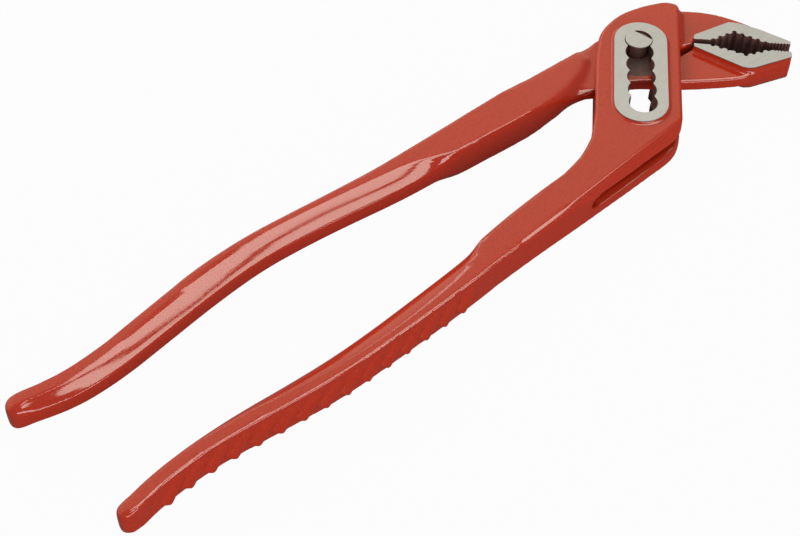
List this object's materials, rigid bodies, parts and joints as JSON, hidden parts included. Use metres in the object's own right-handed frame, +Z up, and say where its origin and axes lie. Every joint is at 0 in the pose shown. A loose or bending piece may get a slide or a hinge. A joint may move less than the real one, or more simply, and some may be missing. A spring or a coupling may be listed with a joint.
{
  "type": "water pump pliers",
  "caption": "Box-joint water pump pliers: a notched adjusting slot, a sliding pivot pin, toothed jaws with a pipe hollow and slim ribbed steel handles.",
  "frame": {"origin": "centre of the bounding box in plan, on the surface the tool lies on", "axes": "+X along the handles towards the jaws, +Y towards the inner lever's handle, +Z up out of the front face"},
  "size_m": [0.249, 0.0541, 0.0127],
  "materials": {
    "paint": "glossy red enamel, ground bare on the slot rim and the jaw pads",
    "steel": "ground"
  },
  "bodies": {
    "outer": {"outer_lever": "paint"},
    "pin": {"pivot_pin": "steel"},
    "inner": {"inner_lever": "paint", "pin_end": "steel"}
  },
  "joints": [
    {"name": "pin_slide", "type": "slide", "parent": "outer", "child": "pin", "axis": [-0.6756, -0.7373, 0], "range_m": [0, 0.0264]},
    {"name": "lever_hinge", "type": "hinge", "parent": "pin", "child": "inner", "pos_m": [0.08798, 0.0127, 0.0061], "axis": [0, 0, -1], "range_deg": [-3.8, 44]}
  ]
}
